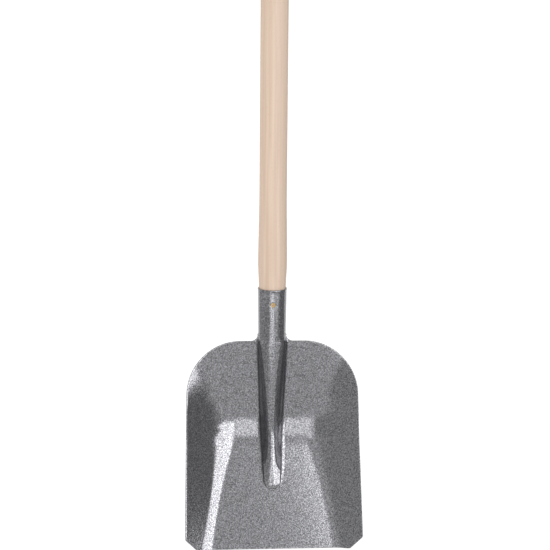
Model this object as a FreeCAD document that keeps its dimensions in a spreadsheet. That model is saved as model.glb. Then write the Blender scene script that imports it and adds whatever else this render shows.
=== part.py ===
"""Grain scoop shovel: a pressed steel scoop with a rolled socket, a turned wooden handle and its screw.

Frame: millimetres, +Z up along the handle, the grain side of the scoop faces -Y, and the cutting edge
stands on Z = 0. The origin is under the middle of the whole tool's box.

The scoop is pressed along one direction, which leans back from the handle by press_tilt. Its form is worked
out in the press frame: x across the scoop, p up the scoop from the cutting edge, q along the press direction
towards the grain side.
"""
import FreeCAD, Part
import math
import os
import Sketcher

SIZES = {
    # the outline of the pressing, seen along the press direction
    "blade_length": 292.0,
    "tip_width": 249.2,
    "shoulder_width": 239.4,
    "shoulder_radius": 76.0,
    "tip_corner": 17.5,
    "tip_corner_round": 6.0,
    "neck_fillet": 10.0,
    # the pressed form
    "sheet_thickness": 1.6,
    "press_tilt": 12.0,
    "floor_slope": 16.0,
    "heel_slope": 16.0,
    "floor_length": 166.0,
    "floor_width_tip": 185.2,
    "floor_width_bend": 132.0,
    "wall_rise_tip": 0.60,
    "wall_rise_bend": 0.86,
    "wall_crest_blend": 0.6,
    "wall_blend_tip": 5.0,
    "wall_blend_bend": 21.0,
    "heel_wall_drop": 0.35,
    "bend_blend": 16.0,
    # the hollow ridge that carries the socket down onto the floor
    "ridge_width_bend": 29.0,
    "ridge_width_nose": 23.0,
    "ridge_top_bend": 17.0,
    "ridge_height_nose": 6.5,
    "ridge_nose_start": 93.0,
    "ridge_nose_length": 12.0,
    "ridge_point": 2.2,
    # the socket, closed at the back along an open seam
    "socket_length": 76.8,
    "socket_neck_diameter": 39.0,
    "socket_top_diameter": 40.6,
    "socket_mouth_diameter": 41.7,
    "socket_flare_length": 6.0,
    "seam_gap": 1.2,
    "throat_height": 42.0,
    # the turned handle
    "handle_length": 1300.0,
    "handle_diameter": 38.0,
    "handle_swell_diameter": 40.7,
    "handle_swell_height": 40.0,
    "handle_swell_length": 140.0,
    "handle_tail_length": 52.0,
    "handle_tail_diameter": 24.0,
    "handle_end_rounding": 14.0,
    "handle_fit_gap": 0.1,
    # the countersunk screw
    "screw_below_mouth": 20.7,
    "screw_length": 30.0,
    "screw_head_diameter": 6.4,
    "screw_head_height": 2.1,
    "screw_thread_diameter": 3.5,
    "screw_core_diameter": 2.5,
    "screw_thread_pitch": 1.8,
    "screw_face_radius": 19.6,
    "screw_hole_gap": 0.05,
    "recess_width": 3.4,
    "recess_slot": 0.8,
    "recess_depth": 1.2,
}

doc = FreeCAD.newDocument("GrainScoopShovel")
sheet = doc.addObject("Spreadsheet::Sheet", "Sizes")
for row, (alias, value) in enumerate(SIZES.items(), start=1):
    sheet.set(f"A{row}", alias)
    sheet.set(f"B{row}", str(value))
    sheet.setAlias(f"B{row}", alias)
doc.recompute()


def size(alias):
    """A driving dimension, read back from the spreadsheet."""
    return float(sheet.get(alias))


def radius(alias):
    return size(alias) / 2


def tangent(alias):
    return math.tan(math.radians(size(alias)))


def between(first, second, share):
    return first + (second - first) * share


# ---------------------------------------------------------------- the press frame

TILT = math.radians(size("press_tilt"))
UP = FreeCAD.Vector(0, math.sin(TILT), math.cos(TILT))
OUT = FreeCAD.Vector(0, -math.cos(TILT), math.sin(TILT))
AWAY = 200.0    # further than any point of the scoop lies from the press plane


def press_point(x, p, q):
    """A point of the press frame, in the shovel's own frame."""
    return FreeCAD.Vector(x, 0, 0) + UP * p + OUT * q


def smooth_step(value, low, high):
    """0 below low, 1 above high, and smooth in between."""
    share = min(max((value - low) / (high - low), 0.0), 1.0)
    return share * share * (3 - 2 * share)


def soft_max(first, second, reach):
    """The larger of two heights, with the corner between them rounded over the given reach."""
    overlap = max(reach - abs(first - second), 0.0)
    return max(first, second) + overlap * overlap / (4 * reach)


def pan_height(x, p):
    """The middle of the sheet without its ridge: a floor and a heel, with side walls that crest at the bend."""
    floor_length = size("floor_length")
    up_floor = -soft_max(-p / floor_length, p / floor_length - 2, size("wall_crest_blend"))
    fold = between(radius("floor_width_tip"), radius("floor_width_bend"), up_floor)
    rise = between(size("wall_rise_tip"), size("wall_rise_bend"), up_floor)
    rise *= 1 - size("heel_wall_drop") * smooth_step(p, floor_length, size("blade_length"))
    wall_blend = between(size("wall_blend_tip"), size("wall_blend_bend"), min(max(p / floor_length, 0), 1) ** 3)
    wall = soft_max(0.0, rise * (abs(x) - fold), wall_blend)
    above_bend = (tangent("floor_slope") + tangent("heel_slope")) * (p - floor_length)
    heel = soft_max(0.0, above_bend, size("bend_blend"))
    return wall + heel - p * tangent("floor_slope")


def pan_point(x, p):
    return press_point(x, p, pan_height(x, p))


def pan_normal(x, p):
    """The unit normal of the pan towards the grain side."""
    step = 0.5
    across = pan_point(x + step, p) - pan_point(x - step, p)
    along = pan_point(x, p + step) - pan_point(x, p - step)
    normal = along.cross(across).normalize()
    return normal if normal.dot(OUT) > 0 else normal * -1


NECK_P = size("blade_length")
BEND_P = size("floor_length")
NECK = pan_point(0, NECK_P)
AXIS_Y = NECK.y          # the handle's axis passes through the sheet at the neck
MOUTH_Z = NECK.z + size("socket_length")
SCREW_FACE = FreeCAD.Vector(0, AXIS_Y - size("screw_face_radius"), MOUTH_Z - size("screw_below_mouth"))


# ---------------------------------------------------------------- the scoop blade

def space_before_pan(offset):
    """Everything on the grain side of the pan's middle surface, moved along its normal by offset."""
    margin, columns, rows = 12.0, 40, 42
    half_width = radius("tip_width") + margin
    length = size("blade_length") + 2 * size("neck_fillet") + 2 * margin
    grid = []
    for row in range(rows + 1):
        p = -margin + length * row / rows
        places = [half_width * (2 * column / columns - 1) for column in range(columns + 1)]
        grid.append([pan_point(x, p) + pan_normal(x, p) * offset for x in places])
    surface = Part.BSplineSurface()
    surface.interpolate(grid)
    return surface.toShape().extrude(OUT * AWAY)


def rounded_outline(corners):
    """A closed wire in the press plane through corners (x, p, radius), each rounded by its radius."""
    points = [press_point(x, p, -AWAY) for x, p, rounding in corners]
    edges, ends = [], []
    for index, (x, p, rounding) in enumerate(corners):
        here = points[index]
        back = (points[index - 1] - here).normalize()
        ahead = (points[(index + 1) % len(points)] - here).normalize()
        half_angle = back.getAngle(ahead) / 2
        start = here + back * (rounding / math.tan(half_angle))
        end = here + ahead * (rounding / math.tan(half_angle))
        inward = (back + ahead).normalize()
        middle = here + inward * (rounding / math.sin(half_angle) - rounding)
        edges.append(Part.Arc(start, middle, end).toShape())
        ends.append((start, end))
    for index in range(len(ends)):
        edges.append(Part.LineSegment(ends[index - 1][1], ends[index][0]).toShape())
    return Part.Wire(Part.__sortEdges__(edges))


def blank_prism():
    """The outline of the pressing, swept along the press direction."""
    neck = radius("socket_neck_diameter") - size("sheet_thickness") / 2
    tab = NECK_P + 2 * size("neck_fillet")
    tip, corner = radius("tip_width"), size("tip_corner")
    right = [
        (neck, tab, 1.0),
        (neck, NECK_P, size("neck_fillet")),
        (radius("shoulder_width"), NECK_P, size("shoulder_radius")),
        (tip, corner, size("tip_corner_round")),
        (tip - corner, 0, size("tip_corner_round")),
    ]
    left = [(-x, p, rounding) for x, p, rounding in reversed(right)]
    return Part.Face(rounded_outline(right + left)).extrude(OUT * 2 * AWAY)


def oval_wire(centre, width, depth, point):
    """A horizontal oval round a centre, with half sizes width along X and depth along Y.

    It is an ellipse where point is 1, and comes to a narrower crest along Y the larger point is.
    """
    count = 24
    angles = [2 * math.pi * index / count for index in range(count)]
    reaches = [depth * math.copysign(abs(math.sin(a)) ** point, math.sin(a)) for a in angles]
    points = [centre + FreeCAD.Vector(width * math.cos(a), -y, 0) for a, y in zip(angles, reaches)]
    curve = Part.BSplineCurve()
    curve.interpolate(points, PeriodicFlag=True)
    return Part.Wire([curve.toShape()])


def heel_section(share):
    """The ridge on the heel, from the bend (share 0) to the neck (share 1)."""
    neck = radius("socket_neck_diameter")
    centre = pan_point(0, between(BEND_P, NECK_P, share))
    top = AXIS_Y - between(size("ridge_top_bend"), neck, share)
    width = between(radius("ridge_width_bend"), neck, share)
    return centre, width, centre.y - top, between(size("ridge_point"), 1, share)


def floor_section(share):
    """The ridge on the floor, from the bend (share 0) to the start of its nose (share 1)."""
    bend_depth = pan_point(0, BEND_P).y - AXIS_Y + size("ridge_top_bend")
    centre = pan_point(0, between(BEND_P, size("ridge_nose_start"), share))
    width = between(radius("ridge_width_bend"), radius("ridge_width_nose"), share)
    return centre, width, between(bend_depth, size("ridge_height_nose"), share), size("ridge_point")


def socket_section(height):
    """The round socket at a height above the neck, with the small flare at its mouth."""
    straight = size("socket_length") - size("socket_flare_length")
    if height <= straight:
        wide = between(radius("socket_neck_diameter"), radius("socket_top_diameter"), height / straight)
    else:
        flared = ((height - straight) / size("socket_flare_length")) ** 2
        wide = between(radius("socket_top_diameter"), radius("socket_mouth_diameter"), flared)
    return FreeCAD.Vector(0, AXIS_Y, NECK.z + height), wide, wide, 1


def ridge_and_socket(inset):
    """One long body from the nose of the ridge to the mouth of the socket, drawn in by inset all round."""
    length, flare, point = size("socket_length"), size("socket_flare_length"), size("ridge_point")
    nose = pan_point(0, size("ridge_nose_start") - size("ridge_nose_length"))
    sections = [(nose, radius("ridge_width_nose") / 2, size("ridge_height_nose") / 3, point)]
    sections += [floor_section(share) for share in (1.0, 0.7, 0.4, 0.12)]
    sections += [heel_section(share) for share in (0.08, 0.33, 0.66, 1.0)]
    sections += [socket_section(height) for height in (length * 0.25, length * 0.5, length * 0.75)]
    sections += [socket_section(length - flare), socket_section(length - flare / 2), socket_section(length)]
    wires = [oval_wire(centre, width - inset, depth - inset, crest) for centre, width, depth, crest in sections]
    return Part.makeLoft(wires, True, False)


def side_prism(points):
    """A prism right across the shovel from (y, z) points in its middle plane."""
    reach = size("socket_mouth_diameter")
    corners = [FreeCAD.Vector(-reach, y, z) for y, z in points]
    return Part.Face(Part.makePolygon(corners + [corners[0]])).extrude(FreeCAD.Vector(2 * reach, 0, 0))


def open_back(before_back):
    """What is behind the sheet and below the throat, the slanting mouth of the socket's back wall."""
    steepness = 2 * size("throat_height") / size("socket_mouth_diameter")
    back, front = AWAY, -AWAY
    low = NECK.z - AWAY * steepness
    below = side_prism([
        (AXIS_Y + front, low),
        (AXIS_Y + back, low),
        (AXIS_Y + back, NECK.z + back * steepness),
        (AXIS_Y + front, NECK.z + front * steepness),
    ])
    return below.cut(before_back)


def seam_slot():
    gap, depth = size("seam_gap"), size("socket_mouth_diameter")
    corner = FreeCAD.Vector(-gap / 2, AXIS_Y, NECK.z)
    return Part.makeBox(gap, depth, size("socket_length") + 1, corner)


def screw_hole():
    """The countersunk hole for the screw, along +Y from the front of the socket."""
    head = radius("screw_head_diameter") + size("screw_hole_gap")
    shank = radius("screw_thread_diameter") + size("screw_hole_gap")
    inward = FreeCAD.Vector(0, 1, 0)
    outside = SCREW_FACE - inward * head
    mouth = Part.makeCylinder(head, head, outside, inward)
    seat = Part.makeCone(head, shank, size("screw_head_height"), SCREW_FACE, inward)
    core = Part.makeCylinder(shank, size("socket_neck_diameter") / 2, SCREW_FACE, inward)
    return mouth.fuse([seat, core])


def scoop_blade():
    thickness = size("sheet_thickness")
    before_back = space_before_pan(-thickness / 2)
    pan = blank_prism().common(before_back).cut(space_before_pan(thickness / 2))
    tube = ridge_and_socket(0).cut(open_back(before_back))
    pieces = pan.fuse(tube).cut([ridge_and_socket(thickness), seam_slot(), screw_hole()]).Solids
    if len(pieces) != 1:
        raise RuntimeError(f"the scoop blade came out as {len(pieces)} solids")
    return pieces[0]


blade = doc.addObject("Part::Feature", "ScoopBlade")
blade.Label = "scoop_blade"
blade.Shape = scoop_blade()


# ---------------------------------------------------------------- the turned pieces

def new_body(name, label):
    body = doc.addObject("PartDesign::Body", name)
    body.Label = label
    return body


def new_sketch(body, name, plane, offset=FreeCAD.Vector(0, 0, 0)):
    """A sketch on one of the body's own origin planes, moved within it by offset."""
    sketch = body.newObject("Sketcher::SketchObject", name)
    support = next(item for item in body.Origin.OriginFeatures if item.Role == plane)
    sketch.AttachmentSupport = (support, [""])
    sketch.MapMode = "FlatFace"
    sketch.AttachmentOffset = FreeCAD.Placement(offset, FreeCAD.Rotation())
    return sketch


def closed_profile(sketch, corners):
    """A closed polygon whose corners are (x, y) expressions of the spreadsheet, bound as constraints."""
    places = [[float(sketch.evalExpression(text)) for text in corner] for corner in corners]
    count = len(corners)
    for index in range(count):
        start = FreeCAD.Vector(*places[index])
        end = FreeCAD.Vector(*places[(index + 1) % count])
        sketch.addGeometry(Part.LineSegment(start, end), False)
    for index in range(count):
        sketch.addConstraint(Sketcher.Constraint("Coincident", index, 2, (index + 1) % count, 1))
    for index, corner in enumerate(corners):
        for kind, axis, text, place in zip(("DistanceX", "DistanceY"), (-2, -1), corner, places[index]):
            if text == "0":
                sketch.addConstraint(Sketcher.Constraint("PointOnObject", index, 1, axis))
            else:
                number = sketch.addConstraint(Sketcher.Constraint(kind, -1, 1, index, 1, place))
                sketch.setExpression(f"Constraints[{number}]", text)


def turn(body, sketch, name, kind, axis):
    """A full turn of a sketch about one of its own axes, adding (Revolution) or cutting (Groove)."""
    feature = body.newObject(f"PartDesign::{kind}", name)
    feature.Profile = sketch
    feature.ReferenceAxis = (sketch, [axis])
    feature.Angle = 360
    doc.recompute()
    return feature


def make_handle():
    """The handle stands on its tail: a taper for the ridge and the socket, a swell above it, the grip."""
    body = new_body("Handle", "handle")
    neck_z = "Sizes.handle_tail_length"
    mouth_z = f"{neck_z} + Sizes.socket_length"
    inset = "Sizes.sheet_thickness - Sizes.handle_fit_gap"
    profile = new_sketch(body, "HandleProfile", "XZ_Plane")
    closed_profile(profile, [
        ("0", "0"),
        ("Sizes.handle_tail_diameter / 2", "0"),
        (f"Sizes.socket_neck_diameter / 2 - {inset}", neck_z),
        (f"Sizes.socket_top_diameter / 2 - {inset}", f"{mouth_z} - Sizes.socket_flare_length"),
        (f"Sizes.socket_mouth_diameter / 2 - {inset}", mouth_z),
        ("Sizes.handle_swell_diameter / 2", f"{mouth_z} + Sizes.handle_swell_height"),
        ("Sizes.handle_diameter / 2", f"{mouth_z} + Sizes.handle_swell_length"),
        ("Sizes.handle_diameter / 2", "Sizes.handle_length"),
        ("0", "Sizes.handle_length"),
    ])
    stick = turn(body, profile, "HandleTurning", "Revolution", "V_Axis")

    screw_z = size("handle_tail_length") + size("socket_length") - size("screw_below_mouth")
    bore = new_sketch(body, "ScrewHoleProfile", "YZ_Plane", FreeCAD.Vector(0, screw_z, 0))
    bore.setExpression(".AttachmentOffset.Base.y", f"{mouth_z} - Sizes.screw_below_mouth")
    face = "Sizes.screw_face_radius"
    gap = "Sizes.screw_hole_gap"
    shank = f"Sizes.screw_thread_diameter / 2 + {gap}"
    closed_profile(bore, [
        (f"0 - {face}", "0"),
        (f"0 - {face}", f"Sizes.screw_head_diameter / 2 + {gap}"),
        (f"Sizes.screw_head_height - {face}", shank),
        (f"Sizes.screw_length - Sizes.screw_thread_diameter - {face}", shank),
        (f"Sizes.screw_length + {gap} - {face}", "0"),
    ])
    drilled = turn(body, bore, "ScrewHole", "Groove", "H_Axis")

    top = max(drilled.Shape.Edges, key=lambda edge: edge.BoundBox.ZMin)
    name = next(f"Edge{n}" for n, edge in enumerate(drilled.Shape.Edges, 1) if edge.isSame(top))
    rounding = body.newObject("PartDesign::Fillet", "EndRounding")
    rounding.Base = (drilled, [name])
    rounding.setExpression("Radius", "Sizes.handle_end_rounding")
    doc.recompute()
    if not stick.Shape.Volume > drilled.Shape.Volume > rounding.Shape.Volume:
        raise RuntimeError("a cut of the handle removed nothing")
    return body


def make_screw():
    """The screw hangs from its head: countersink, ringed thread and point down -Z, cross recess on top."""
    body = new_body("HandleScrew", "handle_screw")
    crest, root = "Sizes.screw_thread_diameter / 2", "Sizes.screw_core_diameter / 2"
    below_head = "0 - Sizes.screw_head_height"
    corners = [("0", "0"), ("Sizes.screw_head_diameter / 2", "0")]
    corners += [(crest, below_head), (root, f"{below_head} - 1")]
    threaded = size("screw_length") - size("screw_head_height") - size("screw_thread_diameter") - 1
    for ring in range(int(threaded / size("screw_thread_pitch"))):
        depth = f"{below_head} - 1 - {ring} * Sizes.screw_thread_pitch"
        corners.append((crest, f"{depth} - Sizes.screw_thread_pitch / 2"))
        corners.append((root, f"{depth} - Sizes.screw_thread_pitch"))
    corners.append(("0", "0 - Sizes.screw_length"))
    profile = new_sketch(body, "ScrewProfile", "XZ_Plane")
    closed_profile(profile, corners)
    turned_screw = turn(body, profile, "ScrewTurning", "Revolution", "V_Axis")

    slot = new_sketch(body, "RecessArm", "XY_Plane")
    half_slot = "Sizes.recess_slot / 2"
    closed_profile(slot, [
        ("0", f"0 - {half_slot}"),
        ("Sizes.recess_width / 2", f"0 - {half_slot}"),
        ("Sizes.recess_width / 2", half_slot),
        ("0", half_slot),
    ])
    arm = body.newObject("PartDesign::Pocket", "Recess")
    arm.Profile = slot
    arm.setExpression("Length", "Sizes.recess_depth")
    doc.recompute()
    cross = body.newObject("PartDesign::PolarPattern", "CrossRecess")
    cross.Originals = [arm]
    cross.Axis = (slot, ["N_Axis"])
    cross.Angle = 360
    cross.Occurrences = 4
    body.Tip = cross
    doc.recompute()
    if not turned_screw.Shape.Volume > arm.Shape.Volume > cross.Shape.Volume:
        raise RuntimeError("the cross recess of the screw is not cut")
    return body


handle = make_handle()
screw = make_screw()


# ---------------------------------------------------------------- places in the shovel's frame

def corners_of(shape):
    """The true box of a shape, measured on its facets."""
    points = shape.tessellate(0.05)[0]
    return [[getattr(point, axis) for point in points] for axis in "xyz"]


xs, ys, zs = corners_of(blade.Shape)
origin = FreeCAD.Vector(0, (min(ys) + max(ys)) / 2, min(zs))
upright = FreeCAD.Rotation()
facing_front = FreeCAD.Rotation(FreeCAD.Vector(1, 0, 0), 90)
tail = FreeCAD.Vector(0, AXIS_Y, NECK.z - size("handle_tail_length"))
blade.Placement = FreeCAD.Placement(origin * -1, upright)
handle.Placement = FreeCAD.Placement(tail - origin, upright)
screw.Placement = FreeCAD.Placement(SCREW_FACE - origin, facing_front)
doc.recompute()


# ---------------------------------------------------------------- checks and files

for item in doc.Objects:
    if "Invalid" in item.State or "Error" in item.State:
        raise RuntimeError(f"{item.Label} did not compute: {item.State}")

os.makedirs("parts", exist_ok=True)
for piece in (blade, handle, screw):
    if piece.Shape.isNull() or not piece.Shape.isValid():
        raise RuntimeError(f"{piece.Label} is not a valid shape")
    piece.Shape.exportStep(f"parts/{piece.Label}.step")
    print(piece.Label, len(piece.Shape.Solids), "solid,", round(piece.Shape.Volume), "mm3")
grip_start = MOUTH_Z + size("handle_swell_length") - origin.z
grip_end = tail.z + size("handle_length") - size("handle_end_rounding") - origin.z
print("handle axis at y", round(AXIS_Y - origin.y, 4))
print("cylindrical grip from z", round(grip_start, 3), "to", round(grip_end, 3))
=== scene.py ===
import math

import bmesh
import bpy
from mathutils import Matrix, Vector


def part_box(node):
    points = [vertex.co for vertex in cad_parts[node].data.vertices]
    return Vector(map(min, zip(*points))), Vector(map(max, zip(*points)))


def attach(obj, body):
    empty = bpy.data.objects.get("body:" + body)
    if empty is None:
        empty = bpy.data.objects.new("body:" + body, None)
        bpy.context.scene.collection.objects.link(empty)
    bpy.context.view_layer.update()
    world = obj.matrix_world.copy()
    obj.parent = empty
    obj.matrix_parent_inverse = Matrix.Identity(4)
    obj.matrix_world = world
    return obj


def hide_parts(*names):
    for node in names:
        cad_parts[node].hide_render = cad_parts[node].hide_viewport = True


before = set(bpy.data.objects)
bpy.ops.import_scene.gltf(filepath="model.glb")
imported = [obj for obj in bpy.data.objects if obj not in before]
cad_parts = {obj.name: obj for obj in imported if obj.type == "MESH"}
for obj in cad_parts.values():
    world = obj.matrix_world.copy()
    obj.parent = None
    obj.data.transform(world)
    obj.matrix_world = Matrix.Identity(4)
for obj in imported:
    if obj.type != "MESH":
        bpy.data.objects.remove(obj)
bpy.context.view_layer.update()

# The scoop's form is worked out in millimetres in the press frame: x across the scoop, p up the scoop from
# the cutting edge, q along the press direction towards the grain side. The press plane leans back from the
# handle.
MM = 0.001

# The pressing's outline, in the press plane.
BLADE_LENGTH = 292.0
TIP_WIDTH = 248.7
SHOULDER_WIDTH = 239.4
SHOULDER_RADIUS = 76.0
TIP_CORNER = 17.5
TIP_CORNER_ROUND = 6.0
NECK_FILLET = 10.0
NECK_FLANGE = 1.2

# The pressing's relief: floor, heel and side walls.
SHEET = 1.6
EDGE_ROUND = 0.4
PRESS_TILT = math.radians(12.0)
FLOOR_FALL = math.tan(math.radians(16.0))
HEEL_RISE = math.tan(math.radians(16.0))
FLOOR_LENGTH = 166.0
FOLD_TIP, FOLD_BEND = 92.6, 66.0
WALL_RISE_TIP, WALL_RISE_BEND = 0.60, 0.86
WALL_CREST_BLEND = 0.6
WALL_BLEND_TIP, WALL_BLEND_BEND = 5.0, 21.0
HEEL_WALL_DROP = 0.35
BEND_BLEND = 16.0

# The hollow ridge. RIDGE_POINT sharpens its section, where 1 is an ellipse; NOSE_FALL and NOSE_NARROWING
# shape its lower end; the last two keep its foot's round within a low ridge or a narrow flange.
RIDGE_HALF_BEND, RIDGE_HALF_NOSE = 14.5, 11.5
RIDGE_TOP_BEND = 17.0
RIDGE_DEPTH_NOSE = 6.5
RIDGE_POINT = 2.2
NOSE_START, NOSE_LENGTH = 93.0, 12.0
NOSE_FALL, NOSE_NARROWING = 0.8, 0.95
CREST_BLEND = 2.0
FOOT_RADIUS = 6.0
FOOT_OF_DEPTH, FOOT_OF_FLANGE = 0.6, 0.8

# The socket, open at the back below its throat and closed along a seam above it.
SOCKET_LENGTH = 76.8
SOCKET_NECK, SOCKET_TOP, SOCKET_MOUTH = 19.5, 20.3, 20.85
FLARE_LENGTH = 6.0
SEAM_GAP = 1.2
THROAT_LOW, THROAT_HIGH = 10.5, 42.0
THROAT_STRAIGHTNESS = 0.3

# The turned stick: straight, swelling towards the socket's mouth, tapering inside it to a rounded tail.
HANDLE_RADIUS = 19.0
SWELL_RADIUS = 20.35
SWELL_HEIGHT, SWELL_LENGTH = 40.0, 140.0
MOUTH_STEP = 0.35
WOOD_CLEARANCE = 0.1
TAIL_RADIUS, TAIL_ROUNDING = 12.0, 2.0
END_ROUNDING = 14.0

# The screw's place, and the shallow dimple round it.
SCREW_BELOW_MOUTH = 20.7
SCREW_HOLE_RADIUS = 3.25
DIMPLE_RADIUS, DIMPLE_DEPTH = 6.5, 0.4


# ---------------------------------------------------------------- small maths

def between(first, second, share):
    return first + (second - first) * share


def clamped(share):
    return min(max(share, 0.0), 1.0)


def smooth_step(value, low, high):
    share = clamped((value - low) / (high - low))
    return share * share * (3 - 2 * share)


def soft_max(first, second, reach):
    """The larger of two heights, with the corner between them rounded over the given reach."""
    overlap = max(reach - abs(first - second), 0.0)
    return max(first, second) + overlap * overlap / (4 * reach)


# ---------------------------------------------------------------- the pressed form

UP = Vector((0, math.sin(PRESS_TILT), math.cos(PRESS_TILT)))
OUT = Vector((0, -math.cos(PRESS_TILT), math.sin(PRESS_TILT)))


def press_point(x, p, q):
    return Vector((x, 0, 0)) + UP * p + OUT * q


def pan_height(x, p):
    """The middle of the sheet without its ridge: floor and heel, with side walls that crest at the bend."""
    # From 0 at the cutting edge up to the bend and back down along the heel.
    up_floor = -soft_max(-p / FLOOR_LENGTH, p / FLOOR_LENGTH - 2, WALL_CREST_BLEND)
    fold = between(FOLD_TIP, FOLD_BEND, up_floor)
    rise = between(WALL_RISE_TIP, WALL_RISE_BEND, up_floor)
    rise *= 1 - HEEL_WALL_DROP * smooth_step(p, FLOOR_LENGTH, BLADE_LENGTH)
    wall_blend = between(WALL_BLEND_TIP, WALL_BLEND_BEND, clamped(p / FLOOR_LENGTH) ** 3)
    wall = soft_max(0.0, rise * (abs(x) - fold), wall_blend)
    heel = soft_max(0.0, (FLOOR_FALL + HEEL_RISE) * (p - FLOOR_LENGTH), BEND_BLEND)
    return wall + heel - p * FLOOR_FALL


def pan_point(x, p):
    """A point of the pan's middle surface; above the neck the sheet stands upright, like the socket."""
    pressed = min(p, BLADE_LENGTH)
    return press_point(x, pressed, pan_height(x, pressed)) + Vector((0, 0, p - pressed))


NECK = pan_point(0, BLADE_LENGTH)

# The frame's own places: the handle's axis, the level of the socket's mouth and the ends of the stick.
HANDLE_LOW, HANDLE_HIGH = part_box("handle")
AXIS = Vector(((HANDLE_LOW[0] + HANDLE_HIGH[0]) / 2, (HANDLE_LOW[1] + HANDLE_HIGH[1]) / 2, 0))
MOUTH_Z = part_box("scoop_blade")[1][2]
SHIFT = Vector((AXIS.x, AXIS.y, MOUTH_Z)) - Vector((0, NECK.y, NECK.z + SOCKET_LENGTH)) * MM


def place(point):
    """A point of the pressed form, in the frame's metres."""
    return point * MM + SHIFT


def shown(name, bm):
    """A smooth-shaded piece made from a bmesh, which rides on the shovel."""
    bmesh.ops.recalc_face_normals(bm, faces=bm.faces)
    mesh = bpy.data.meshes.new(name)
    bm.to_mesh(mesh)
    bm.free()
    mesh.shade_smooth()
    piece = bpy.data.objects.new(name, mesh)
    bpy.context.scene.collection.objects.link(piece)
    normals = piece.modifiers.new("normals", "WEIGHTED_NORMAL")
    normals.keep_sharp = True
    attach(piece, "root")
    return piece


# ---------------------------------------------------------------- the scoop's mesh

# How many faces a row has across each stretch, and how many rows each stretch of the outline has.
RIDGE_COLUMNS, FOOT_COLUMNS, PAN_COLUMNS = 30, 6, 54
WRAP_COLUMNS = FOOT_COLUMNS + PAN_COLUMNS
CORNER_ROWS, CHAMFER_ROWS, SHOULDER_ROWS, TOP_ROWS, FILLET_ROWS = 4, 8, 40, 8, 12
TIP_ROWS, NOSE_ROWS, FLOOR_ROWS = 20, 20, 46
NOSE_ROW_CROWDING = 1.4
THROAT_ROWS, SOCKET_ROWS = 24, 35

# The straight tab above the neck, and how far below the nose and the fillet's end the centre line's rows lie.
TAB_LENGTH = 20.0
BELOW_NOSE, BELOW_FILLET_END = 2.0, 0.8


def socket_radius(height):
    """The middle of the socket's wall at a height above the neck."""
    straight = SOCKET_LENGTH - FLARE_LENGTH
    if height <= straight:
        return between(SOCKET_NECK, SOCKET_TOP, height / straight) - SHEET / 2
    return between(SOCKET_TOP, SOCKET_MOUTH, ((height - straight) / FLARE_LENGTH) ** 2) - SHEET / 2


def ridge_size(p):
    """Half width and depth of the ridge's middle surface where its centre line is at p."""
    if p >= BLADE_LENGTH:
        radius = socket_radius(p - BLADE_LENGTH)
        return radius, radius
    up_heel = (p - FLOOR_LENGTH) / (BLADE_LENGTH - FLOOR_LENGTH)
    down_floor = (FLOOR_LENGTH - p) / (FLOOR_LENGTH - NOSE_START)
    if p >= FLOOR_LENGTH:
        half = between(RIDGE_HALF_BEND, SOCKET_NECK, up_heel)
    else:
        half = between(RIDGE_HALF_BEND, RIDGE_HALF_NOSE, min(down_floor, 1.0))
    if p >= NOSE_START:
        nose_out = RIDGE_DEPTH_NOSE - pan_point(0, NOSE_START).y
        heel_out = between(RIDGE_TOP_BEND, SOCKET_NECK, up_heel) - NECK.y
        floor_out = between(RIDGE_TOP_BEND - NECK.y, nose_out, down_floor)
        crest_out = soft_max(heel_out, floor_out, CREST_BLEND)
        return half - SHEET / 2, crest_out + pan_point(0, p).y - SHEET / 2
    down_nose = min((NOSE_START - p) / NOSE_LENGTH, 1.0)
    depth = (RIDGE_DEPTH_NOSE - SHEET / 2) * (1 - down_nose ** 2) ** NOSE_FALL
    return half * math.sqrt(1 - NOSE_NARROWING * down_nose ** 2) - SHEET / 2, depth


def blade_row(centre_p, edge_x, edge_p):
    """One line of the sheet from the ridge's top line out to a point of the pressing's edge."""
    half, depth = ridge_size(centre_p)
    up_heel = clamped((centre_p - FLOOR_LENGTH) / (BLADE_LENGTH - FLOOR_LENGTH))
    sharpness = between(RIDGE_POINT, 1.0, up_heel)
    centre = pan_point(0, centre_p)
    flange = edge_x - half
    foot = min(FOOT_RADIUS, FOOT_OF_DEPTH * depth, FOOT_OF_FLANGE * flange)
    foot_width = max(foot, min(FOOT_RADIUS / 3, flange / 2))
    points = []
    for column in range(RIDGE_COLUMNS):
        angle = math.pi / 2 * column / RIDGE_COLUMNS
        out = foot + (depth - foot) * math.cos(angle) ** sharpness
        points.append(centre + Vector((half * math.sin(angle), -out, 0)))
    for column in range(FOOT_COLUMNS):
        angle = math.pi / 2 * column / FOOT_COLUMNS
        x = half + foot_width * (1 - math.cos(angle))
        points.append(centre + Vector((x, -foot * (1 - math.sin(angle)), 0)))
    for column in range(PAN_COLUMNS + 1):
        share = column / PAN_COLUMNS
        x = between(half + foot_width, edge_x, share)
        points.append(pan_point(x, between(centre_p, edge_p, share * share)))
    return points


def socket_row(height, wrap):
    """One level line round the socket, from its front to wrap, the angle where its edge lies."""
    points = []
    radius = socket_radius(height)
    above_screw = height - (SOCKET_LENGTH - SCREW_BELOW_MOUTH)
    for column in range(RIDGE_COLUMNS + WRAP_COLUMNS + 1):
        if column <= RIDGE_COLUMNS:
            angle = math.pi / 2 * column / RIDGE_COLUMNS
        else:
            angle = between(math.pi / 2, wrap, (column - RIDGE_COLUMNS) / WRAP_COLUMNS)
        from_screw = math.hypot(radius * angle, above_screw)
        dent = DIMPLE_DEPTH * (1 + math.cos(math.pi * min(from_screw / DIMPLE_RADIUS, 1))) / 2
        reach = radius - dent
        points.append(Vector((reach * math.sin(angle), NECK.y - reach * math.cos(angle), NECK.z + height)))
    return points


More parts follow.
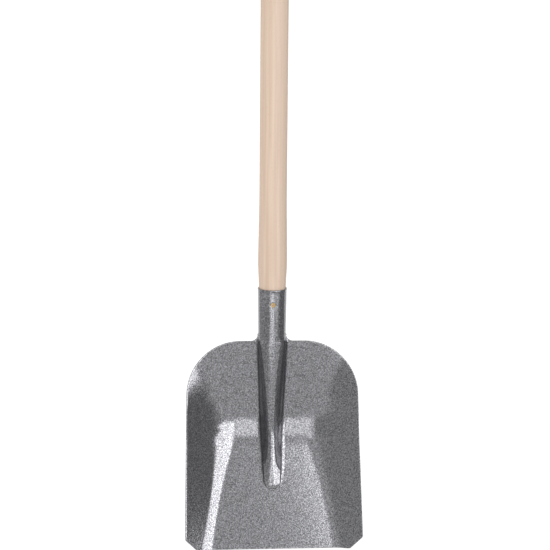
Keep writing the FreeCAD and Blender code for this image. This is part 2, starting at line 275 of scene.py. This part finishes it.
def corner_arc(before, corner, after, radius, steps):
    """Points (x, p) of the arc that rounds a corner of the outline, ends included."""
    corner = Vector(corner)
    back = (Vector(before) - corner).normalized()
    ahead = (Vector(after) - corner).normalized()
    half_angle = back.angle(ahead) / 2
    start = corner + back * radius / math.tan(half_angle)
    end = corner + ahead * radius / math.tan(half_angle)
    centre = corner + (back + ahead).normalized() * radius / math.sin(half_angle)
    arm = start - centre
    sweep = arm.angle_signed(end - centre)
    return [centre + Matrix.Rotation(-sweep * step / steps, 2) @ arm for step in range(steps + 1)]


def straight_run(start, end, steps):
    """Points between two ends, without the ends."""
    return [start.lerp(end, step / steps) for step in range(1, steps)]


def edge_points():
    """Rows of the pressing from cutting edge to neck: a point of the right edge and the centre line's p."""
    tip = TIP_WIDTH / 2
    neck_x = socket_radius(0) + NECK_FLANGE
    cutting, corner = (tip - TIP_CORNER, 0), (tip, TIP_CORNER)
    shoulder, neck = (SHOULDER_WIDTH / 2, BLADE_LENGTH), (neck_x, BLADE_LENGTH)
    tab = (neck_x, BLADE_LENGTH + TAB_LENGTH)
    low_arc = corner_arc((0, 0), cutting, corner, TIP_CORNER_ROUND, CORNER_ROWS)
    high_arc = corner_arc(cutting, corner, shoulder, TIP_CORNER_ROUND, CORNER_ROWS)
    shoulder_arc = corner_arc(corner, shoulder, neck, SHOULDER_RADIUS, SHOULDER_ROWS)
    fillet_arc = corner_arc(shoulder, neck, tab, NECK_FILLET, FILLET_ROWS)

    chamfer = low_arc + straight_run(low_arc[-1], high_arc[0], CHAMFER_ROWS) + high_arc
    side_low, side_high = high_arc[-1].y, shoulder_arc[0].y
    nose_low = NOSE_START - NOSE_LENGTH - BELOW_NOSE
    centres = [side_low * row / (len(chamfer) - 1) for row in range(len(chamfer))]
    centres += [between(side_low, nose_low, row / TIP_ROWS) for row in range(1, TIP_ROWS)]
    centres += [between(nose_low, NOSE_START, (row / NOSE_ROWS) ** NOSE_ROW_CROWDING)
                for row in range(NOSE_ROWS)]
    centres += [between(NOSE_START, side_high, row / FLOOR_ROWS) for row in range(FLOOR_ROWS)]
    side_rows = len(centres) - len(chamfer)
    side = straight_run(high_arc[-1], shoulder_arc[0], side_rows + 1)
    top = shoulder_arc + straight_run(shoulder_arc[-1], fillet_arc[0], TOP_ROWS) + fillet_arc[:-1]
    centre_high = BLADE_LENGTH + NECK_FILLET - BELOW_FILLET_END
    centres += [between(side_high, centre_high, row / (len(top) - 1)) for row in range(len(top))]
    return zip(chamfer + side + top, centres)


def blade_rows():
    """All lines of the sheet: the pressing, then the throat as it closes behind, then the closed socket."""
    rows = [blade_row(centre_p, point.x, point.y) for point, centre_p in edge_points()]
    full_wrap = math.pi - SEAM_GAP / 2 / SOCKET_TOP
    first_wrap = math.pi / 2 + NECK_FLANGE / SOCKET_NECK
    for row in range(THROAT_ROWS + 1):
        share = row / THROAT_ROWS
        wrap = between(first_wrap, full_wrap, share)
        climb = between(-math.cos(wrap), share, THROAT_STRAIGHTNESS)
        rows.append(socket_row(between(THROAT_LOW, THROAT_HIGH, climb), wrap))
    for row in range(1, SOCKET_ROWS + 1):
        rows.append(socket_row(between(THROAT_HIGH, SOCKET_LENGTH, row / SOCKET_ROWS), full_wrap))
    return rows


def sheet_grid(rows):
    """The open middle surface: rows of points from the plane of symmetry, and their mirror images."""
    bm = bmesh.new()
    table = []
    for row in rows:
        right = [bm.verts.new(place(point)) for point in row]
        left = [bm.verts.new(place(Vector((-point.x, point.y, point.z)))) for point in row[1:]]
        table.append(left[::-1] + right)
    for low, high in zip(table, table[1:]):
        for column in range(len(low) - 1):
            bm.faces.new((low[column], low[column + 1], high[column + 1], high[column]))
    bmesh.ops.remove_doubles(bm, verts=bm.verts, dist=0.1 * MM)
    bm.normal_update()
    return bm


def punch_screw_hole(bm):
    """Opens the round hole for the screw in the front of the socket."""
    centre = Vector((AXIS.x, MOUTH_Z - SCREW_BELOW_MOUTH * MM))
    radius = SCREW_HOLE_RADIUS * MM

    def away(point):
        return (Vector((point.x, point.z)) - centre).length

    inside = [face for face in bm.faces
              if face.calc_center_median().y < AXIS.y and away(face.calc_center_median()) < radius]
    bmesh.ops.delete(bm, geom=inside, context="FACES")
    for vert in bm.verts:
        if vert.co.y < AXIS.y and vert.is_boundary and away(vert.co) < 2 * radius:
            reach = math.hypot(vert.co.x - AXIS.x, vert.co.y - AXIS.y)
            flat = centre + (Vector((vert.co.x, vert.co.z)) - centre).normalized() * radius
            vert.co = Vector((flat.x, AXIS.y - math.sqrt(reach ** 2 - (flat.x - AXIS.x) ** 2), flat.y))


def thicken(bm):
    """Gives the open surface the sheet's thickness, with a softened rim along every edge."""
    half, soft = SHEET / 2 * MM, EDGE_ROUND * MM
    bm.verts.index_update()
    faces = [[vert.index for vert in face.verts] for face in bm.faces]
    rims = [(edge.link_loops[0].vert.index, edge.link_loops[0].link_loop_next.vert.index)
            for edge in bm.edges if edge.is_boundary]
    solid = bmesh.new()
    outer, inner, lip_outer, lip_inner = [], [], {}, {}
    for vert in bm.verts:
        inward = Vector((0, 0, 0))
        if vert.is_boundary:
            for edge in vert.link_edges:
                if edge.is_boundary:
                    along = edge.other_vert(vert).co - vert.co
                    into = edge.link_faces[0].calc_center_median() - vert.co
                    inward += (into - along * into.dot(along) / along.length_squared).normalized()
            inward = inward.normalized() * soft
            lip_outer[vert.index] = solid.verts.new(vert.co + vert.normal * (half - soft))
            lip_inner[vert.index] = solid.verts.new(vert.co - vert.normal * (half - soft))
        outer.append(solid.verts.new(vert.co + vert.normal * half + inward))
        inner.append(solid.verts.new(vert.co - vert.normal * half + inward))
    for corners in faces:
        solid.faces.new([outer[index] for index in corners])
        solid.faces.new([inner[index] for index in reversed(corners)])
    for first, second in rims:
        strip = [(outer[first], outer[second]), (lip_outer[first], lip_outer[second]),
                 (lip_inner[first], lip_inner[second]), (inner[first], inner[second])]
        for near, far in zip(strip, strip[1:]):
            solid.faces.new((near[1], near[0], far[0], far[1]))
    bm.free()
    return solid


def scoop_blade():
    """The painted pressing with its ridge and socket."""
    sheet = sheet_grid(blade_rows())
    punch_screw_hole(sheet)
    sheet.normal_update()
    piece = shown("pressed_scoop", thicken(sheet))
    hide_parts("scoop_blade")
    return piece


# ---------------------------------------------------------------- the handle's mesh

SWELL_ROWS, STRAIGHT_ROWS, END_ROWS = 60, 40, 12
HANDLE_SIDES = 96


def handle_profile():
    """(radius, z) in metres up the turned stick, from the middle of its tail to the middle of its end."""
    low, high = HANDLE_LOW[2], HANDLE_HIGH[2]
    neck_z = MOUTH_Z - SOCKET_LENGTH * MM
    inset = SHEET + WOOD_CLEARANCE
    # Two points round the tail's end.
    profile = [(0.0, low), (0.7 * TAIL_RADIUS * MM, low)]
    profile += [(0.93 * TAIL_RADIUS * MM, low + 0.3 * TAIL_ROUNDING * MM)]
    profile += [(TAIL_RADIUS * MM, low + TAIL_ROUNDING * MM), ((SOCKET_NECK - inset) * MM, neck_z)]
    profile += [((SOCKET_TOP - inset) * MM, MOUTH_Z - FLARE_LENGTH * MM)]
    mouth_radius = SOCKET_MOUTH - inset - MOUTH_STEP
    for row in range(SWELL_ROWS + 1):
        height = SWELL_LENGTH * row / SWELL_ROWS
        rising = smooth_step(height, -0.1 * SWELL_HEIGHT, SWELL_HEIGHT)
        falling = smooth_step(height, 0.6 * SWELL_HEIGHT, SWELL_LENGTH)
        radius = between(mouth_radius, SWELL_RADIUS, rising) - (SWELL_RADIUS - HANDLE_RADIUS) * falling
        profile.append((radius * MM, MOUTH_Z + height * MM))
    straight_low, straight_high = MOUTH_Z + SWELL_LENGTH * MM, high - END_ROUNDING * MM
    for row in range(1, STRAIGHT_ROWS + 1):
        profile.append((HANDLE_RADIUS * MM, between(straight_low, straight_high, row / STRAIGHT_ROWS)))
    for row in range(1, END_ROWS + 1):
        angle = math.pi / 2 * row / END_ROWS
        radius = HANDLE_RADIUS - END_ROUNDING * (1 - math.cos(angle))
        profile.append((radius * MM, straight_high + END_ROUNDING * math.sin(angle) * MM))
    profile.append((0.0, high))
    return profile


def handle():
    """The bare wooden stick, turned from its profile."""
    bm = bmesh.new()
    rings = []
    angles = [2 * math.pi * side / HANDLE_SIDES for side in range(HANDLE_SIDES)]
    for radius, z in handle_profile():
        if radius == 0.0:
            rings.append([bm.verts.new((AXIS.x, AXIS.y, z))])
        else:
            rings.append([bm.verts.new((AXIS.x + radius * math.cos(a), AXIS.y + radius * math.sin(a), z))
                          for a in angles])
    for low, high in zip(rings, rings[1:]):
        for side in range(HANDLE_SIDES):
            ahead = (side + 1) % HANDLE_SIDES
            if len(low) == 1:
                bm.faces.new((low[0], high[ahead], high[side]))
            elif len(high) == 1:
                bm.faces.new((low[side], low[ahead], high[0]))
            else:
                bm.faces.new((low[side], low[ahead], high[ahead], high[side]))
    piece = shown("turned_handle", bm)
    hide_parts("handle")
    return piece


# ---------------------------------------------------------------- materials

# The colour sockets of a Mix node, which share their names with its number sockets.
MIX_A, MIX_B, MIX_RESULT = 6, 7, 2


class Nodes:
    """A material with short ways to add and link its nodes."""

    def __init__(self, name):
        self.material = bpy.data.materials.new(name)
        self.material.use_nodes = True
        self.tree = self.material.node_tree
        self.shader = self.tree.nodes["Principled BSDF"]
        self.place = self.add("ShaderNodeTexCoord").outputs["Object"]

    def add(self, kind, **settings):
        node = self.tree.nodes.new(kind)
        for key, value in settings.items():
            setattr(node, key, value)
        return node

    def link(self, output, node_input):
        self.tree.links.new(output, node_input)

    def stretched(self, shrink_z):
        """Places whose pattern runs along the handle: the smaller the factor, the longer the streaks."""
        mapping = self.add("ShaderNodeMapping")
        mapping.inputs["Scale"].default_value = (1.0, 1.0, shrink_z)
        self.link(self.place, mapping.inputs["Vector"])
        return mapping.outputs["Vector"]

    def noise(self, vector, scale, detail=2.0, roughness=0.5):
        node = self.add("ShaderNodeTexNoise")
        node.inputs["Scale"].default_value = scale
        node.inputs["Detail"].default_value = detail
        node.inputs["Roughness"].default_value = roughness
        self.link(vector, node.inputs["Vector"])
        return node.outputs["Fac"]

    def cell_distance(self, vector, scale):
        node = self.add("ShaderNodeTexVoronoi")
        node.inputs["Scale"].default_value = scale
        self.link(vector, node.inputs["Vector"])
        return node.outputs["Distance"]

    def ramp(self, value, stops):
        """Stops are (position, colour) or (position, level) for a grey."""
        node = self.add("ShaderNodeValToRGB")
        while len(node.color_ramp.elements) < len(stops):
            node.color_ramp.elements.new(0.5)
        for element, (position, colour) in zip(node.color_ramp.elements, stops):
            element.position = position
            element.color = (*colour, 1.0) if isinstance(colour, tuple) else (colour, colour, colour, 1.0)
        self.link(value, node.inputs["Fac"])
        return node.outputs["Color"]

    def tint(self, factor, colour, tinted):
        """Turns a colour output towards a fixed colour by a factor output."""
        node = self.add("ShaderNodeMix", data_type="RGBA")
        self.link(factor, node.inputs["Factor"])
        self.link(colour, node.inputs[MIX_A])
        node.inputs[MIX_B].default_value = (*tinted, 1.0)
        return node.outputs[MIX_RESULT]

    def bump(self, height, strength, distance):
        node = self.add("ShaderNodeBump")
        node.inputs["Strength"].default_value = strength
        node.inputs["Distance"].default_value = distance
        self.link(height, node.inputs["Height"])
        self.link(node.outputs["Normal"], self.shader.inputs["Normal"])

    def finished(self, values):
        """The material, once the shader's own sockets are set to fixed values."""
        for name, value in values.items():
            self.shader.inputs[name].default_value = value
        return self.material


def hammertone():
    """Glossy silver-grey enamel whose aluminium flakes gather in small cells with dark seams."""
    mat = Nodes("hammertone_enamel")
    cells = mat.noise(mat.place, 640.0, detail=1.0, roughness=0.6)
    seam, flake, bright_flake = (0.055, 0.055, 0.059), (0.175, 0.175, 0.186), (0.31, 0.31, 0.328)
    colour = mat.ramp(cells, [(0.3, seam), (0.5, flake), (0.7, bright_flake)])
    mat.link(colour, mat.shader.inputs["Base Color"])
    mat.bump(cells, strength=0.2, distance=0.0003)
    return mat.finished({"Roughness": 0.15, "Metallic": 0.9, "Coat Weight": 0.5, "Coat Roughness": 0.05})


def beech():
    """Sanded bare beech: pale and straight-grained, with slow bands and short dark flecks."""
    mat = Nodes("sanded_beech")
    streaks = mat.noise(mat.stretched(0.02), 230.0, detail=4.0, roughness=0.55)
    bands = mat.noise(mat.stretched(0.05), 45.0)
    flecks = mat.cell_distance(mat.stretched(0.16), 900.0)
    colour = mat.ramp(streaks, [(0.3, (0.57, 0.425, 0.325)), (0.7, (0.68, 0.53, 0.415))])
    colour = mat.tint(mat.ramp(bands, [(0.45, 0.0), (0.7, 0.35)]), colour, (0.60, 0.45, 0.34))
    colour = mat.tint(mat.ramp(flecks, [(0.10, 0.35), (0.22, 0.0)]), colour, (0.40, 0.28, 0.19))
    mat.link(colour, mat.shader.inputs["Base Color"])
    mat.bump(streaks, strength=0.25, distance=0.0002)
    return mat.finished({"Roughness": 0.62})


def yellow_zinc():
    """Yellow-passivated zinc on the screw, whose film drifts between brown and straw."""
    mat = Nodes("yellow_zinc")
    drift = mat.noise(mat.place, 500.0)
    colour = mat.ramp(drift, [(0.35, (0.22, 0.15, 0.06)), (0.65, (0.36, 0.26, 0.13))])
    mat.link(colour, mat.shader.inputs["Base Color"])
    return mat.finished({"Metallic": 1.0, "Roughness": 0.32})


def glowing(name, grey, roughness, level):
    """A matt grey surface that also glows evenly."""
    return Nodes(name).finished({
        "Base Color": (grey, grey, grey, 1.0), "Roughness": roughness, "Specular IOR Level": 0.0,
        "Emission Color": (1.0, 1.0, 1.0, 1.0), "Emission Strength": level})


def card(name, level):
    """A card that the paint mirrors at the given brightness."""
    return glowing(name, grey=0.02, roughness=0.5, level=level)


def give(piece, material):
    piece.data.materials.clear()
    piece.data.materials.append(material)


# ---------------------------------------------------------------- camera, lights and floor

# Places are in metres. Directions are in degrees round and above the object: azimuth 0 is the grain side.
CAMERA_AZIMUTH, CAMERA_ELEVATION, CAMERA_ROLL = -4.1, 12.0, 0.5
CAMERA_DISTANCE = 2.0
CAMERA_AIM = Vector((AXIS.x + 0.0036, AXIS.y, MOUTH_Z + 0.0182))
FOCAL_LENGTH, SENSOR_WIDTH = 93.5084, 36.0
SCOOP_MIDDLE = Vector((AXIS.x, AXIS.y, 0.2))
HANDLE_LIGHT_AIM = Vector((AXIS.x, AXIS.y, 1.13))
FLOOR_REACH = 60


def direction(azimuth, elevation):
    """From the object outwards; azimuth grows to the right, elevation upwards."""
    around, above = math.radians(azimuth), math.radians(elevation)
    return Vector((math.sin(around) * math.cos(above), -math.cos(around) * math.cos(above), math.sin(above)))


def facing(eye, target, roll=0.0):
    """The matrix of a camera or light at eye that looks at target."""
    back = (eye - target).normalized()
    right = Vector((0, 0, 1)).cross(back).normalized()
    up = back.cross(right)
    turn = Matrix((right, up, back)).transposed().to_4x4()
    return Matrix.Translation(eye) @ turn @ Matrix.Rotation(roll, 4, "Z")


def make_camera():
    camera = bpy.data.cameras.new("camera")
    camera.lens, camera.sensor_width = FOCAL_LENGTH, SENSOR_WIDTH
    holder = bpy.data.objects.new("camera", camera)
    bpy.context.scene.collection.objects.link(holder)
    eye = CAMERA_AIM + direction(CAMERA_AZIMUTH, CAMERA_ELEVATION) * CAMERA_DISTANCE
    holder.matrix_world = facing(eye, CAMERA_AIM, math.radians(CAMERA_ROLL))
    bpy.context.scene.camera = holder


def studio_place(azimuth, elevation, distance, aim=SCOOP_MIDDLE):
    """The matrix of a light or card that stands that way from the scoop's middle and faces its aim."""
    return facing(SCOOP_MIDDLE + direction(azimuth, elevation) * distance, aim)


def softbox(name, where, width, height, radiance):
    """A rectangular light, unseen by the camera; radiance is what a mirror would see of it."""
    light = bpy.data.lights.new(name, "AREA")
    light.shape = "RECTANGLE"
    light.size, light.size_y = width, height
    light.energy = radiance * math.pi * width * height
    holder = bpy.data.objects.new(name, light)
    bpy.context.scene.collection.objects.link(holder)
    holder.matrix_world = where
    holder.visible_camera = False
    return holder


def flat_piece(name, corners, material):
    """A flat face with its corners (x, y) in metres, which isn't part of the object."""
    bm = bmesh.new()
    bm.faces.new([bm.verts.new((x, y, 0)) for x, y in corners])
    mesh = bpy.data.meshes.new(name)
    bm.to_mesh(mesh)
    bm.free()
    piece = bpy.data.objects.new(name, mesh)
    bpy.context.scene.collection.objects.link(piece)
    give(piece, material)
    return piece


def make_cards():
    """Cards at both sides of the scoop and on the floor, unseen, which dim what the paint mirrors there."""
    dark, grey = card("dark_card", level=0.36), card("grey_card", level=0.72)
    side = flat_piece("side_card", [(-0.46, -0.25), (1.02, -0.25), (0.96, 0.38)], dark)
    side.matrix_world = studio_place(azimuth=62, elevation=4, distance=0.9)
    low = flat_piece("low_card", [(0.4, -0.4), (1.3, -0.4), (1.3, 0.5), (0.25, 0.5)], dark)
    low.location.z = 0.002
    left = flat_piece("left_card", [(-0.5, -0.1), (0.7, -0.1), (0.7, 0.1), (-0.5, 0.1)], grey)
    left.matrix_world = studio_place(azimuth=-78, elevation=-9, distance=0.5)
    for screen in (side, low, left):
        screen.visible_camera = False
        screen.visible_shadow = False


def make_lights():
    """The left wall mirrors the key light and the bend the front lights, which light the wood as well."""
    key_place = studio_place(azimuth=39, elevation=21, distance=1.5)
    key = softbox("key", key_place, width=1.42, height=1.56, radiance=3.6)
    key.visible_diffuse = False
    front_place = studio_place(azimuth=-2, elevation=5.5, distance=1.085, aim=HANDLE_LIGHT_AIM)
    softbox("front", front_place, width=0.42, height=0.66, radiance=0.85)
    spread_place = studio_place(azimuth=-4, elevation=5.5, distance=1.1, aim=HANDLE_LIGHT_AIM)
    softbox("front_spread", spread_place, width=0.66, height=0.8, radiance=0.75)


def make_floor():
    """A plain pale floor that runs out of sight."""
    corners = [(-FLOOR_REACH, -FLOOR_REACH), (FLOOR_REACH, -FLOOR_REACH),
               (FLOOR_REACH, FLOOR_REACH), (-FLOOR_REACH, FLOOR_REACH)]
    flat_piece("floor", corners, glowing("pale_floor", grey=0.25, roughness=0.9, level=0.9))


def graded(tree, value, stops):
    """A grey ramp over a value from -1 to 1; stops are (value, level)."""
    spread = tree.nodes.new("ShaderNodeMapRange")
    tree.links.new(value, spread.inputs["Value"])
    spread.inputs["From Min"].default_value = -1.0
    ramp = tree.nodes.new("ShaderNodeValToRGB")
    tree.links.new(spread.outputs["Result"], ramp.inputs["Fac"])
    while len(ramp.color_ramp.elements) < len(stops):
        ramp.color_ramp.elements.new(0.5)
    for element, (position, level) in zip(ramp.color_ramp.elements, stops):
        element.position = (position + 1) / 2
        element.color = (level, level, level, 1.0)
    return ramp.outputs["Color"]


def make_world():
    """A pale studio: brightest in the middle and overhead, dimmer to the sides and towards the horizon."""
    world = bpy.data.worlds.new("studio")
    world.use_nodes = True
    tree = world.node_tree
    split = tree.nodes.new("ShaderNodeSeparateXYZ")
    tree.links.new(tree.nodes.new("ShaderNodeTexCoord").outputs["Generated"], split.inputs["Vector"])
    across_stops = [(-0.8, 0.8), (-0.6, 0.95), (-0.4, 1.15), (0.3, 1.15), (0.7, 0.6)]
    both = tree.nodes.new("ShaderNodeMix")
    both.data_type, both.blend_type = "RGBA", "MULTIPLY"
    both.inputs["Factor"].default_value = 1.0
    tree.links.new(graded(tree, split.outputs["X"], across_stops), both.inputs[MIX_A])
    tree.links.new(graded(tree, split.outputs["Z"], [(0.0, 0.9), (0.5, 1.0)]), both.inputs[MIX_B])
    tree.links.new(both.outputs[MIX_RESULT], tree.nodes["Background"].inputs["Color"])
    bpy.context.scene.world = world


# ---------------------------------------------------------------- the scene

give(scoop_blade(), hammertone())
give(handle(), beech())
give(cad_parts["handle_screw"], yellow_zinc())
make_floor()
make_cards()
make_lights()
make_world()
make_camera()
bpy.context.scene.view_settings.view_transform = "Standard"
